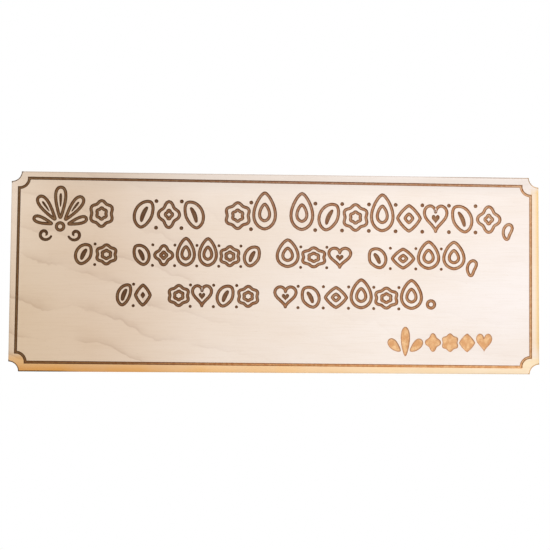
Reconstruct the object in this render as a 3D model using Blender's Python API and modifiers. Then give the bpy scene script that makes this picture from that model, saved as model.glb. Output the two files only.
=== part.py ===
"""Engraved plywood wall plaque with notched corners, its sawtooth hanger, nails and bumpers.

Frame: metres, +Z up, +X to the right of a person who looks at the face, and the face towards -Y.
The origin is the hanging point: the plane y = 0 is the wall, and z = 0 is the apex of the
hanger's middle notch, which sits on the wall nail. The board is seven glued plies, each its own
solid, and the engraving is cut into the face veneer only.
"""

import math

import bmesh
import bpy
import numpy as np

MM = 0.001

# Board
BOARD_WIDTH = 304.8 * MM
BOARD_HEIGHT = 114.3 * MM
BOARD_THICKNESS = 12.0 * MM
NOTCH_RADIUS = 5.6 * MM
NOTCH_STEPS = 8
RIM_CHAMFER = 0.4 * MM
VENEER_THICKNESS = 0.95 * MM
CORE_PLIES = 5
FIT_GAP = 0.3 * MM

# Hardware on the back
BUMPER_HEIGHT = 2.5 * MM
BUMPER_RADIUS = 4.75 * MM
BUMPER_ROUND = 1.2 * MM
BUMPER_INSET = 16.0 * MM
HANGER_LENGTH = 45.0 * MM
HANGER_HEIGHT = 9.0 * MM
HANGER_SHEET = 0.8 * MM
HANGER_JOGGLE = 1.2 * MM
HANGER_TAB = 6.5 * MM
HANGER_DROP = 15.0 * MM
TOOTH_PITCH = 2.6 * MM
TOOTH_DEPTH = 1.5 * MM
TOOTH_NOTCHES = 9
NAIL_LENGTH = 8.0 * MM
NAIL_RADIUS = 0.65 * MM
NAIL_HEAD_RADIUS = 1.6 * MM
NAIL_HEAD_HEIGHT = 0.5 * MM
NAIL_POINT = 1.6 * MM
PILOT_RADIUS = NAIL_RADIUS + 0.25 * MM
PILOT_DEPTH = 7.0 * MM
PILOT_SIDES = 12

# Engraving
GROOVE_WIDTH = 1.95 * MM
BORDER_WIDTH = 1.75 * MM
GROOVE_DEPTH = 0.6 * MM
POCKET_DEPTH = 0.35 * MM
BORDER_INSET = 4.6 * MM
MOTIF_GAP = 0.45 * MM
SEED_SIZE = 0.07
SEED_STEPS = 10
OUTLINE_STEPS = 96
OUTLINE_TOLERANCE = 0.22 * MM
CUTTER_RISE = 0.5 * MM
# The laser's work lies a little off square on the blank: its turn about the board's centre, and
# its shift from there
ENGRAVING_TURN = math.radians(-0.23)
ENGRAVING_SHIFT = complex(-0.36, 0.14) * MM

UPRIGHT = (math.pi / 2, 0, 0)
LYING = (0, 0, 0)

# Planes that follow from the sizes above
BACK_Y = -(BUMPER_HEIGHT + FIT_GAP)
FRONT_Y = BACK_Y - BOARD_THICKNESS
CORE_THICKNESS = (
    BOARD_THICKNESS - 2 * VENEER_THICKNESS - (CORE_PLIES + 1) * FIT_GAP
) / CORE_PLIES
BOARD_CENTRE_Z = HANGER_DROP - BOARD_HEIGHT / 2
NAIL_X = (HANGER_LENGTH - HANGER_TAB) / 2
NAIL_Z = HANGER_HEIGHT / 2 - TOOTH_DEPTH

# Lines of ornament: foot height, motif height, and the words with their two ends, in
# millimetres from the board's centre.
ORNAMENT_LINES = (
    (24.4, 16.8, (
        (-108.0, -93.5, "rosette"),
        (-84.0, -40.5, "leaf clover leaf_back"),
        (-30.5, 0.5, "rosette bud"),
        (6.5, 131.0, "bud leaf rosette bud diamond heart leaf_back clover"),
    )),
    (2.9, 12.9, (
        (-117.2, -91.0, "leaf rosette"),
        (-83.8, -8.0, "leaf_back clover bud bud rosette leaf"),
        (-1.2, 44.0, "bud rosette heart"),
        (51.0, 110.3, "leaf_back diamond bud bud"),
    )),
    (-20.35, 13.4, (
        (-92.5, -71.0, "leaf diamond"),
        (-62.5, -9.5, "rosette heart leaf rosette"),
        (-2.0, 85.5, "heart leaf_back diamond bud rosette bud"),
    )),
)
LINE_DROPS = ((25.0, 135.5), (3.6, 114.5))
LAST_DOT = (89.6, -17.0)
FAN_FOOT = complex(-124.2, 25.0) * MM
SPRIG_FOOT = complex(74.8, -47.0) * MM
SPRIG_LINE = (-44.3, 10.8, 85.9, 125.6, "clover rosette diamond heart")
TALL_MOTIF = 1.4


# ---------------------------------------------------------------- ornament outlines
# A loop is an array of complex numbers, x + iz, measured from the board's centre.

def turn_angles():
    return np.linspace(0, 2 * math.pi, OUTLINE_STEPS, endpoint=False)


def bowed_spine(base, tip, bow):
    """A spine from base to tip that bows to its left by the fraction bow of its length."""
    return lambda t: base + (tip - base) * (t + 1j * bow * np.sin(math.pi * t))


def blade(spine, width, taper, lift=0.0):
    """The outline of a stroke along a spine, with round tips; lift moves its belly to the tip."""
    angle = turn_angles()
    t = (1 - np.cos(angle)) / 2
    along = spine(t + 0.001) - spine(t - 0.001)
    swell = np.sin(angle)
    half_width = width / 2 * np.sign(swell) * np.abs(swell) ** taper * (1 + lift * (2 * t - 1))
    return spine(t) - 1j * half_width * along / np.abs(along)


def ring(centre, radius, steps=OUTLINE_STEPS):
    return centre + radius * np.exp(2j * math.pi * np.arange(steps) / steps)


def fitted(loop, foot, width, height):
    """The loop stretched to fill a box that stands on foot, its middle below."""
    across = (loop.real - loop.real.min()) / np.ptp(loop.real) - 0.5
    up = (loop.imag - loop.imag.min()) / np.ptp(loop.imag)
    return foot + width * across + 1j * height * up


def lobed(lobes, depth):
    """A round outline with this many lobes, one of them at the top."""
    angle = turn_angles()
    return 1j * (1 + depth * np.cos(lobes * angle)) * np.exp(1j * angle)


def diamond(fullness=1.6):
    """A four-pointed diamond whose sides bow outwards a little."""
    angle = turn_angles()
    across = np.sign(np.cos(angle)) * np.abs(np.cos(angle)) ** fullness
    up = np.sign(np.sin(angle)) * np.abs(np.sin(angle)) ** fullness
    return across + 1j * up


def heart_outline():
    angle = turn_angles()
    across = 16 * np.sin(angle) ** 3
    up = 13 * np.cos(angle) - 5 * np.cos(2 * angle) - 2 * np.cos(3 * angle) - np.cos(4 * angle)
    return across + 1j * up


# ---------------------------------------------------------------- motifs
# A motif is a list of loops with what the laser does at each: it follows an "outline", and it
# clears the inside of a "solid" one. Each fills a box that stands on foot, its middle below.

def with_eye(loop, middle, share, action="outline"):
    """A motif's outline round a small copy of itself, which is cleared where it is too tight."""
    eye = middle + share * (loop - middle)
    if np.ptp(eye.real) < 1.75 * GROOVE_WIDTH:
        action = "solid"
    return [("outline", loop), (action, eye)]


def leaf_motif(foot, width, height, lean):
    """A leaf that leans to one side, with its broad vein cleared."""
    spine = bowed_spine(-0.25 * lean, 0.25 * lean + 1j * height / width, 0.1 * lean)
    loop = blade(spine, 0.84, 1.2)
    middle = (loop.real.max() + loop.real.min()) / 2
    scale = min(width / np.ptp(loop.real), height / np.ptp(loop.imag))

    def place(point):
        return foot + scale * (point - middle - 1j * loop.imag.min())

    vein = blade(lambda t: place(spine(0.18 + 0.62 * t)), 1.4 * GROOVE_WIDTH, 0.7)
    return [("outline", place(loop)), ("solid", vein)]


def bud_motif(foot, width, height):
    """A tall upright bud with its belly low, round a smaller one."""
    loop = blade(bowed_spine(foot, foot + 1j * height, 0), 0.92 * width, 1.2, -0.3)
    return with_eye(loop, foot + 0.42j * height, 0.46)


def motif(kind, foot, width, height):
    middle = foot + 0.5j * height
    if kind == "leaf":
        return leaf_motif(foot, width, height, 1)
    if kind == "leaf_back":
        return leaf_motif(foot, width, height, -1)
    if kind == "rosette":
        return with_eye(fitted(lobed(6, 0.09), foot, width, height), middle, 0.44)
    if kind == "clover":
        return with_eye(fitted(lobed(4, 0.17), foot, width, height), middle, 0.34)
    if kind == "diamond":
        return with_eye(fitted(diamond(), foot, width, height), middle, 0.34)
    if kind == "heart":
        return with_eye(fitted(heart_outline(), foot, width, height), foot + 0.46j * height, 0.36, "solid")
    return bud_motif(foot, width, TALL_MOTIF * height)


def word(foot_z, height, left, right, kinds):
    """One word's motifs, spread evenly between its two ends, with seeds between them."""
    kinds = kinds.split()
    pitch = (right - left) * MM / len(kinds)
    loops = []
    for index, kind in enumerate(kinds):
        foot = left * MM + pitch * (index + 0.5) + 1j * (foot_z * MM + GROOVE_WIDTH / 2)
        loops += motif(kind, foot, pitch - GROOVE_WIDTH - MOTIF_GAP, height * MM - GROOVE_WIDTH)
    radius = SEED_SIZE * height * MM
    for index in range(1, len(kinds)):
        for seed_z in (foot_z * MM + 0.6 * radius, (foot_z + height) * MM - 0.6 * radius):
            seed = complex(left * MM + pitch * index, seed_z)
            loops.append(("solid", ring(seed, radius, SEED_STEPS)))
    return loops


def drop(foot_z, x):
    """The leaning drop that closes a line."""
    spine = bowed_spine(complex(x - 1.6, foot_z - 3.6) * MM, complex(x + 0.8, foot_z + 4.6) * MM, 0.14)
    return ("outline", blade(spine, 4.4 * MM, 0.9, 0.25))


def scroll(centre, side):
    """A spiral stroke that winds in towards its centre."""
    return lambda t: centre - (3.9 - 3.4 * t) * MM * side * np.exp(1j * side * (0.2 + 7.0 * t))


def fan(foot):
    """The large opening ornament: five petals over a seed and two scrolls."""
    loops = [("outline", ring(foot, 2.1 * MM))]
    for step in (-2, -1, 0, 1, 2):
        direction = 1j * np.exp(-1j * step * math.radians(36))
        length = (17.4 - 1.75 * step ** 2) * MM
        base = foot + 5.2 * MM * direction
        spine = bowed_spine(base, base + length * direction, 0)
        loops.append(("outline", blade(spine, 0.29 * length, 0.9, 0.6)))
        if abs(step) < 2:
            vein = bowed_spine(base + 0.35 * length * direction, base + 0.8 * length * direction, 0)
            loops.append(("solid", blade(vein, 0.09 * length, 0.6, 0.3)))
    for side in (-1, 1):
        curl = scroll(foot + complex(side * 8.6, -4.4) * MM, side)
        loops.append(("solid", blade(curl, GROOVE_WIDTH, 0.3)))
    return loops


def engraved_loops():
    """Every loop that is cut at groove depth, without the border."""
    loops = fan(FAN_FOOT)
    for foot_z, height, words in ORNAMENT_LINES:
        for left, right, kinds in words:
            loops += word(foot_z, height, left, right, kinds)
    for foot_z, x in LINE_DROPS:
        loops.append(drop(foot_z, x))
    loops.append(("outline", ring(complex(*LAST_DOT) * MM, 2.1 * MM)))
    return loops


def pocket_loops():
    """The filled sprig low on the right, which is cut at pocket depth."""
    loops = []
    for step in (-1, 0, 1):
        direction = 1j * np.exp(-1j * step * math.radians(43))
        base = SPRIG_FOOT + 4.0 * abs(step) * MM * direction
        spine = bowed_spine(base, base + (17.0 - 7.4 * abs(step)) * MM * direction, -0.06 * step)
        loops.append(blade(spine, 5.2 * MM, 1.0, 0.3))
    foot_z, height, left, right, kinds = SPRIG_LINE
    kinds = kinds.split()
    pitch = (right - left) * MM / len(kinds)
    for index, kind in enumerate(kinds):
        foot = left * MM + pitch * (index + 0.5) + 1j * foot_z * MM
        action, loop = motif(kind, foot, pitch - MOTIF_GAP, height * MM)[0]
        loops.append(loop)
    return loops


# ---------------------------------------------------------------- loops to cut lines

def anticlockwise(loop):
    area = np.sum(loop.real * np.roll(loop, -1).imag - loop.imag * np.roll(loop, -1).real)
    return loop if area > 0 else loop[::-1]


def offset_loop(loop, distance):
    """The loop moved outwards by distance, without the stretches that fold over themselves."""
    loop = anticlockwise(loop)
    along = np.roll(loop, -1) - np.roll(loop, 1)
    moved = loop - 1j * distance * along / np.abs(along)
    side = np.roll(loop, -1) - loop
    run = ((moved[:, None] - loop) * np.conj(side)).real / np.abs(side) ** 2
    nearest = loop + np.clip(run, 0, 1) * side
    clear = np.abs(moved[:, None] - nearest).min(axis=1)
    return moved[clear > 0.98 * abs(distance)]


def simplified(loop, tolerance):
    """The fewest of the loop's points that keep it within tolerance."""
    def thin(first, last):
        if last - first < 2:
            return [loop[first]]
        chord = loop[last % len(loop)] - loop[first]
        bulge = np.abs(((loop[first + 1:last] - loop[first]) * np.conj(chord)).imag) / np.abs(chord)
        if bulge.max() < tolerance:
            return [loop[first]]
        middle = first + 1 + int(bulge.argmax())
        return thin(first, middle) + thin(middle, last)
    half = len(loop) // 2
    return np.array(thin(0, half) + thin(half, len(loop)))


def notched_rectangle(width, height, radius, grow=0.0):
    """A rectangle with its corners scooped out by arcs about them, its outline moved out by grow."""
    radius -= grow
    tilt = math.asin(grow / radius)
    points = []
    for x, z, start in ((1, 1, 1.5), (-1, 1, 0), (-1, -1, 0.5), (1, -1, 1)):
        corner = complex(x * width / 2, z * height / 2)
        for step in range(NOTCH_STEPS + 1):
            swing = (math.pi / 2 + 2 * tilt) * step / NOTCH_STEPS
            points.append(corner + radius * np.exp(1j * (math.pi * start + tilt - swing)))
    return np.array(points)


def border_edges():
    width = BOARD_WIDTH - 2 * BORDER_INSET
    height = BOARD_HEIGHT - 2 * BORDER_INSET
    return [
        notched_rectangle(width, height, NOTCH_RADIUS, side * BORDER_WIDTH / 2)
        for side in (1, -1)
    ]


def groove_edges():
    """The closed edges of everything cut at groove depth."""
    edges = border_edges()
    for action, loop in engraved_loops():
        if action == "solid":
            edges.append(simplified(anticlockwise(loop), OUTLINE_TOLERANCE))
        else:
            for side in (1, -1):
                moved = offset_loop(loop, side * GROOVE_WIDTH / 2)
                edges.append(simplified(moved, OUTLINE_TOLERANCE))
    return edges


def pocket_edges():
    return [simplified(anticlockwise(loop), OUTLINE_TOLERANCE) for loop in pocket_loops()]


def as_engraved(edges):
    """The edges moved from square and centred to where the laser's work lies on the blank."""
    return [edge * np.exp(1j * ENGRAVING_TURN) + ENGRAVING_SHIFT for edge in edges]


# ---------------------------------------------------------------- modelling helpers

def collection(name):
    group = bpy.data.collections.new(name)
    bpy.context.scene.collection.children.link(group)
    return group


def material(name, colour, roughness, metallic=0.0):
    made = bpy.data.materials.new(name)
    made.use_nodes = True
    shader = made.node_tree.nodes["Principled BSDF"]
    shader.inputs["Base Color"].default_value = (*colour, 1)
    shader.inputs["Roughness"].default_value = roughness
    shader.inputs["Metallic"].default_value = metallic
    return made


def extruded(name, loops, group, place, thickness, turn=UPRIGHT):
    """Closed loops filled and extruded to a thickness, as a mesh object centred on place."""
    curve = bpy.data.curves.new(name, "CURVE")
    curve.dimensions = "2D"
    curve.fill_mode = "BOTH"
    curve.extrude = thickness / 2
    for loop in loops:
        spline = curve.splines.new("POLY")
        spline.points.add(len(loop) - 1)
        spline.use_cyclic_u = True
        for point, spot in zip(spline.points, loop):
            point.co = (spot.real, spot.imag, 0, 1)
    outline = bpy.data.objects.new(name + "_outline", curve)
    outline.rotation_euler = turn
    outline.location = place
    bpy.context.scene.collection.objects.link(outline)
    bpy.context.view_layer.update()
    evaluated = outline.evaluated_get(bpy.context.evaluated_depsgraph_get())
    mesh = bpy.data.meshes.new_from_object(evaluated)
    weld(mesh)
    solid = bpy.data.objects.new(name, mesh)
    solid.matrix_world = outline.matrix_world.copy()
    bpy.data.objects.remove(outline)
    group.objects.link(solid)
    return solid


def slab(name, loops, near_y, far_y, group, origin_z=BOARD_CENTRE_Z):
    """Loops of x + iz from (0, origin_z), extruded from the plane near_y back to far_y."""
    place = (0, (near_y + far_y) / 2, origin_z)
    return extruded(name, loops, group, place, far_y - near_y)


def weld(mesh):
    work = bmesh.new()
    work.from_mesh(mesh)
    bmesh.ops.remove_doubles(work, verts=work.verts, dist=0.001 * MM)
    bmesh.ops.recalc_face_normals(work, faces=work.faces)
    work.to_mesh(mesh)
    work.free()


def turned(name, profile, steps, group):
    """A profile of radius and height turned about its axis, which points to +Y."""
    mesh = bpy.data.meshes.new(name)
    points = [(radius, 0, height) for radius, height in profile]
    mesh.from_pydata(points, [(i, i + 1) for i in range(len(points) - 1)], [])
    solid = bpy.data.objects.new(name, mesh)
    solid.rotation_euler = (-math.pi / 2, 0, 0)
    group.objects.link(solid)
    screw = solid.modifiers.new("Turn", "SCREW")
    screw.axis = "Z"
    screw.steps = steps
    screw.render_steps = steps
    screw.use_merge_vertices = True
    screw.merge_threshold = 0.001 * MM
    return solid


def cut(solid, cutter):
    boolean = solid.modifiers.new(cutter.name, "BOOLEAN")
    boolean.operation = "DIFFERENCE"
    boolean.solver = "EXACT"
    boolean.object = cutter
    cutter.hide_render = True
    cutter.display_type = "WIRE"


def finish(solid, surface, parent):
    solid.data.materials.clear()
    solid.data.materials.append(surface)
    solid.parent = parent
    return solid


# ---------------------------------------------------------------- the board

def board_outline():
    return notched_rectangle(BOARD_WIDTH, BOARD_HEIGHT, NOTCH_RADIUS)


def face_veneer(parts, cutters):
    """The engraved front ply, with its front rim eased."""
    veneer = slab("face_veneer", [board_outline()], FRONT_Y, FRONT_Y + VENEER_THICKNESS, parts)
    work = bmesh.new()
    work.from_mesh(veneer.data)
    front = VENEER_THICKNESS / 2
    rim = [
        edge for edge in work.edges
        if all(abs(vertex.co.z - front) < 0.01 * MM for vertex in edge.verts)
        and edge.calc_face_angle(0) > 1
    ]
    bmesh.ops.bevel(work, geom=rim, offset=RIM_CHAMFER, segments=1, affect="EDGES", clamp_overlap=True)
    work.to_mesh(veneer.data)
    work.free()
    top_y = FRONT_Y - CUTTER_RISE
    grooves = as_engraved(groove_edges())
    pockets = as_engraved(pocket_edges())
    cut(veneer, slab("groove_cutter", grooves, top_y, FRONT_Y + GROOVE_DEPTH, cutters))
    cut(veneer, slab("pocket_cutter", pockets, top_y, FRONT_Y + POCKET_DEPTH, cutters))
    return veneer


def pilot_cutter(side, cutters):
    """The drill's path for one hanger nail."""
    reach = PILOT_DEPTH + CUTTER_RISE
    bpy.ops.mesh.primitive_cylinder_add(vertices=PILOT_SIDES, radius=PILOT_RADIUS, depth=reach)
    drill = bpy.context.object
    drill.name = "pilot_cutter_right" if side > 0 else "pilot_cutter_left"
    drill.rotation_euler = (math.pi / 2, 0, 0)
    drill.location = (side * NAIL_X, BACK_Y + CUTTER_RISE - reach / 2, NAIL_Z)
    for group in drill.users_collection:
        group.objects.unlink(drill)
    cutters.objects.link(drill)
    return drill


def core_plies(parts, drills):
    """The core, numbered from the face to the back; the nails reach the rearmost three."""
    plies = []
    pitch = CORE_THICKNESS + FIT_GAP
    for index in range(CORE_PLIES):
        near_y = FRONT_Y + VENEER_THICKNESS + FIT_GAP + index * pitch
        ply = slab(f"core_ply_{index + 1}", [board_outline()], near_y, near_y + CORE_THICKNESS, parts)
        if near_y + CORE_THICKNESS > BACK_Y - PILOT_DEPTH:
            for drill in drills:
                cut(ply, drill)
        plies.append(ply)
    return plies


def back_veneer(parts, drills):
    veneer = slab("back_veneer", [board_outline()], BACK_Y - VENEER_THICKNESS, BACK_Y, parts)
    for drill in drills:
        cut(veneer, drill)
    return veneer


# ---------------------------------------------------------------- the hardware

def sawtooth_hanger(parts, cutters):
    """A joggled steel strip: flat end tabs on the board, and a toothed bridge between them."""
    tab_x = HANGER_LENGTH / 2
    bend_x = tab_x - HANGER_TAB
    bridge_x = bend_x - HANGER_JOGGLE
    board_side = ((-tab_x, 0), (-bend_x, 0), (-bridge_x, 1), (bridge_x, 1), (bend_x, 0), (tab_x, 0))
    section = [complex(x, step * HANGER_JOGGLE) for x, step in board_side]
    section += [point + 1j * HANGER_SHEET for point in reversed(section)]
    place = (0, BACK_Y + FIT_GAP, HANGER_HEIGHT / 2 - TOOTH_DEPTH)
    hanger = extruded("sawtooth_hanger", [section], parts, place, HANGER_HEIGHT, LYING)
    cut(hanger, slab("tooth_cutter", tooth_gaps(), BACK_Y, CUTTER_RISE, cutters, 0))
    holes = [ring(complex(side * NAIL_X, NAIL_Z), PILOT_RADIUS, PILOT_SIDES) for side in (-1, 1)]
    cut(hanger, slab("tab_hole_cutter", holes, BACK_Y, CUTTER_RISE, cutters, 0))
    return hanger


def tooth_gaps():
    """The V notches in the lower edge of the hanger, the middle one with its apex at z = 0."""
    gaps = []
    half = 0.46 * TOOTH_PITCH
    for index in range(TOOTH_NOTCHES):
        x = (index - (TOOTH_NOTCHES - 1) / 2) * TOOTH_PITCH
        below = -TOOTH_DEPTH - CUTTER_RISE
        wide = half * (1 + CUTTER_RISE / TOOTH_DEPTH)
        gaps.append([complex(x - wide, below), complex(x + wide, below), complex(x, 0)])
    return gaps


def hanger_nail(side, parts):
    """A round wire nail with a low domed head and a cone point; its head lies towards the wall."""
    base = NAIL_HEAD_HEIGHT
    profile = [
        (0, base),
        (0.55 * NAIL_HEAD_RADIUS, 0.85 * base),
        (0.9 * NAIL_HEAD_RADIUS, 0.45 * base),
        (NAIL_HEAD_RADIUS, 0.1 * base),
        (NAIL_HEAD_RADIUS, 0),
        (NAIL_RADIUS, 0),
        (NAIL_RADIUS, NAIL_POINT - NAIL_LENGTH),
        (0, -NAIL_LENGTH),
    ]
    nail = turned("hanger_nail_right" if side > 0 else "hanger_nail_left", profile, 16, parts)
    head_seat = BACK_Y + FIT_GAP + HANGER_SHEET + FIT_GAP
    nail.location = (side * NAIL_X, head_seat, NAIL_Z)
    return nail


def bumper(side, parts):
    """A self-adhesive rubber disc with a rounded outer edge; its flat face meets the wall."""
    profile = [(0, BUMPER_HEIGHT)]
    for step in range(5):
        angle = math.pi / 2 * step / 4
        radius = BUMPER_RADIUS - BUMPER_ROUND * (1 - math.sin(angle))
        profile.append((radius, BUMPER_HEIGHT - BUMPER_ROUND * (1 - math.cos(angle))))
    profile += [(BUMPER_RADIUS, 0), (0, 0)]
    disc = turned("bumper_right" if side > 0 else "bumper_left", profile, 32, parts)
    corner_z = BOARD_CENTRE_Z - BOARD_HEIGHT / 2
    disc.location = (side * (BOARD_WIDTH / 2 - BUMPER_INSET), BACK_Y + FIT_GAP, corner_z + BUMPER_INSET)
    return disc


def main():
    for thing in list(bpy.data.objects):
        bpy.data.objects.remove(thing)
    parts = collection("wooden_plaque")
    cutters = collection("cutters")
    plaque = bpy.data.objects.new("plaque", None)
    parts.objects.link(plaque)

    maple = material("maple_veneer", (0.80, 0.65, 0.49), 0.55)
    core_light = material("core_along_grain", (0.68, 0.50, 0.32), 0.7)
    core_dark = material("core_across_grain", (0.45, 0.30, 0.18), 0.8)
    steel = material("zinc_plated_steel", (0.62, 0.62, 0.60), 0.35, 1.0)
    nail_steel = material("nail_steel", (0.5, 0.5, 0.5), 0.3, 1.0)
    rubber = material("rubber", (0.03, 0.03, 0.03), 0.8)

    drills = [pilot_cutter(side, cutters) for side in (-1, 1)]
    finish(face_veneer(parts, cutters), maple, plaque)
    for index, ply in enumerate(core_plies(parts, drills)):
        finish(ply, core_light if index % 2 else core_dark, plaque)
    finish(back_veneer(parts, drills), maple, plaque)
    finish(sawtooth_hanger(parts, cutters), steel, plaque)
    for side in (-1, 1):
        finish(hanger_nail(side, parts), nail_steel, plaque)
        finish(bumper(side, parts), rubber, plaque)


main()
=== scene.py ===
"""The looks of the engraved maple plaque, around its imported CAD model.

Metres, +Z up, the face towards -Y. Every piece is built in place in the row frame, so its object
coordinates are the frame's own.
"""

import math

import bmesh
import bpy
import numpy as np
from mathutils import Matrix, Vector
from mathutils.geometry import delaunay_2d_cdt


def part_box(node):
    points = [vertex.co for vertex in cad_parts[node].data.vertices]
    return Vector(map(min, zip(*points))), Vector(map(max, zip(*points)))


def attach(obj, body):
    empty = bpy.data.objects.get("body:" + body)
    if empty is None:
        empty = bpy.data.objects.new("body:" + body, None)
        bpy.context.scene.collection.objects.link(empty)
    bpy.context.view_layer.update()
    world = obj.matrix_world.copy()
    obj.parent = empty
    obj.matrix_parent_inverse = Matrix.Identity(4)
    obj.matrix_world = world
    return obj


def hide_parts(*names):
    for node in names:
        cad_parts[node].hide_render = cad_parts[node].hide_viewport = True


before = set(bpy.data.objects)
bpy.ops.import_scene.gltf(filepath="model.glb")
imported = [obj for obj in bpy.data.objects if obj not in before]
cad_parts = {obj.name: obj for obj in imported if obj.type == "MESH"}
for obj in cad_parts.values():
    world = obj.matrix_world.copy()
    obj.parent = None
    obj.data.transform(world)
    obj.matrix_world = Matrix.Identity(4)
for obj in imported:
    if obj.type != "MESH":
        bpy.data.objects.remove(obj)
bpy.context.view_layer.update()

MM = 0.001

# ---------------------------------------------------------------- sizes, from the frame
FACE_LOW, FACE_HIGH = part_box("face_veneer")
BACK_LOW, BACK_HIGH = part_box("back_veneer")
WIDTH = FACE_HIGH[0] - FACE_LOW[0]
HEIGHT = FACE_HIGH[2] - FACE_LOW[2]
CENTRE_X = (FACE_LOW[0] + FACE_HIGH[0]) / 2
CENTRE_Z = (FACE_LOW[2] + FACE_HIGH[2]) / 2
FRONT_Y = FACE_LOW[1]
BACK_Y = BACK_HIGH[1]
CORE_NODES = [f"core_ply_{number}" for number in range(1, 6)]

NOTCH_RADIUS = 5.6 * MM
NOTCH_STEPS = 28
BORDER_INSET = 4.6 * MM
BORDER_WIDTH = 1.75 * MM
GROOVE_WIDTH = 1.95 * MM
MOTIF_GAP = 0.45 * MM
SEED_SIZE = 0.07
SEED_STEPS = 24
OUTLINE_STEPS = 120
# The laser's work lies a little off square on the blank: its turn about the board's centre, and
# its shift from there
ENGRAVING_TURN = math.radians(-0.23)
ENGRAVING_SHIFT = complex(-0.36, 0.14) * MM

# Inset from a cut's rim, depth, and scorch there; scorch near 1 on the steep walls also paints shade
# there, and the floor's lower scorch a painted highlight
GROOVE_LEVELS = ((0.0, 0.0, 0.0), (0.05, 0.04, 0.8), (0.18, 0.4, 1.0), (0.4, 0.57, 0.95))
GROOVE_FLOOR = (0.6, 0.88)
POCKET_LEVELS = (
    (0.0, 0.0, 0.0), (0.05, 0.04, 0.82), (0.35, 0.3, 0.86), (0.6, 0.34, 0.45), (1.0, 0.35, 0.08),
)
# Inset from the board's edge, drop, and weight of the rounded rim's darkening: char, and painted shade low
# on the left
RIM_LEVELS = (
    (0.0, 0.5, 1.0), (0.16, 0.32, 1.0), (0.45, 0.17, 0.9), (0.8, 0.1, 0.1), (1.3, 0.04, 0.0),
    (2.6, 0.0, 0.0),
)

# The ornament, as in the CAD: foot height, motif height, and the words with their two ends, in
# millimetres from the board's centre, before the engraving's turn and shift
ORNAMENT_LINES = (
    (24.4, 16.8, (
        (-108.0, -93.5, "rosette"),
        (-84.0, -40.5, "leaf clover leaf_back"),
        (-30.5, 0.5, "rosette bud"),
        (6.5, 131.0, "bud leaf rosette bud diamond heart leaf_back clover"),
    )),
    (2.9, 12.9, (
        (-117.2, -91.0, "leaf rosette"),
        (-83.8, -8.0, "leaf_back clover bud bud rosette leaf"),
        (-1.2, 44.0, "bud rosette heart"),
        (51.0, 110.3, "leaf_back diamond bud bud"),
    )),
    (-20.35, 13.4, (
        (-92.5, -71.0, "leaf diamond"),
        (-62.5, -9.5, "rosette heart leaf rosette"),
        (-2.0, 85.5, "heart leaf_back diamond bud rosette bud"),
    )),
)
LINE_DROPS = ((25.0, 135.5), (3.6, 114.5))
LAST_DOT = (89.6, -17.0)
FAN_FOOT = complex(-124.2, 25.0) * MM
SPRIG_FOOT = complex(74.8, -47.0) * MM
SPRIG_LINE = (-44.3, 10.8, 85.9, 125.6, "clover rosette diamond heart")
TALL_MOTIF = 1.4


# ---------------------------------------------------------------- ornament outlines
# A loop is an array of complex numbers, x + iz, measured from the board's centre. Those of the
# engraving are drawn square and centred, and as_engraved then turns and shifts them.

def turn_angles():
    return np.linspace(0, 2 * math.pi, OUTLINE_STEPS, endpoint=False)


def bowed_spine(base, tip, bow):
    """A spine from base to tip that bows to its left by the fraction bow of its length."""
    return lambda t: base + (tip - base) * (t + 1j * bow * np.sin(math.pi * t))


def blade(spine, width, taper, lift=0.0):
    """The outline of a stroke along a spine, with round tips; lift moves its belly to the tip."""
    angle = turn_angles()
    t = (1 - np.cos(angle)) / 2
    along = spine(t + 0.001) - spine(t - 0.001)
    swell = np.sin(angle)
    half_width = width / 2 * np.sign(swell) * np.abs(swell) ** taper * (1 + lift * (2 * t - 1))
    return spine(t) - 1j * half_width * along / np.abs(along)


def ring(centre, radius, steps=OUTLINE_STEPS):
    return centre + radius * np.exp(2j * math.pi * np.arange(steps) / steps)


def fitted(loop, foot, width, height):
    """The loop stretched to fill a box that stands on foot, its middle below."""
    across = (loop.real - loop.real.min()) / np.ptp(loop.real) - 0.5
    up = (loop.imag - loop.imag.min()) / np.ptp(loop.imag)
    return foot + width * across + 1j * height * up


def lobed(lobes, depth):
    """A round outline with this many lobes, one of them at the top."""
    angle = turn_angles()
    return 1j * (1 + depth * np.cos(lobes * angle)) * np.exp(1j * angle)


def diamond(fullness=1.6):
    """A four-pointed diamond whose sides bow outwards a little."""
    angle = turn_angles()
    across = np.sign(np.cos(angle)) * np.abs(np.cos(angle)) ** fullness
    up = np.sign(np.sin(angle)) * np.abs(np.sin(angle)) ** fullness
    return across + 1j * up


def heart_outline():
    angle = turn_angles()
    across = 16 * np.sin(angle) ** 3
    up = 13 * np.cos(angle) - 5 * np.cos(2 * angle) - 2 * np.cos(3 * angle) - np.cos(4 * angle)
    return across + 1j * up


# ---------------------------------------------------------------- motifs
# A motif is a list of loops with what the laser does at each: it follows an "outline", and it
# clears the inside of a "solid" one. Each fills a box that stands on foot, its middle below.

def with_eye(loop, middle, share, action="outline"):
    """A motif's outline round a small copy of itself, which is cleared where it is too tight."""
    eye = middle + share * (loop - middle)
    if np.ptp(eye.real) < 1.75 * GROOVE_WIDTH:
        action = "solid"
    return [("outline", loop), (action, eye)]


def leaf_motif(foot, width, height, lean):
    """A leaf that leans to one side, with its broad vein cleared."""
    spine = bowed_spine(-0.25 * lean, 0.25 * lean + 1j * height / width, 0.1 * lean)
    loop = blade(spine, 0.84, 1.2)
    middle = (loop.real.max() + loop.real.min()) / 2
    scale = min(width / np.ptp(loop.real), height / np.ptp(loop.imag))

    def place(point):
        return foot + scale * (point - middle - 1j * loop.imag.min())

    vein = blade(lambda t: place(spine(0.18 + 0.62 * t)), 1.4 * GROOVE_WIDTH, 0.7)
    return [("outline", place(loop)), ("solid", vein)]


def bud_motif(foot, width, height):
    """A tall upright bud with its belly low, round a smaller one."""
    loop = blade(bowed_spine(foot, foot + 1j * height, 0), 0.92 * width, 1.2, -0.3)
    return with_eye(loop, foot + 0.42j * height, 0.46)


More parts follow.
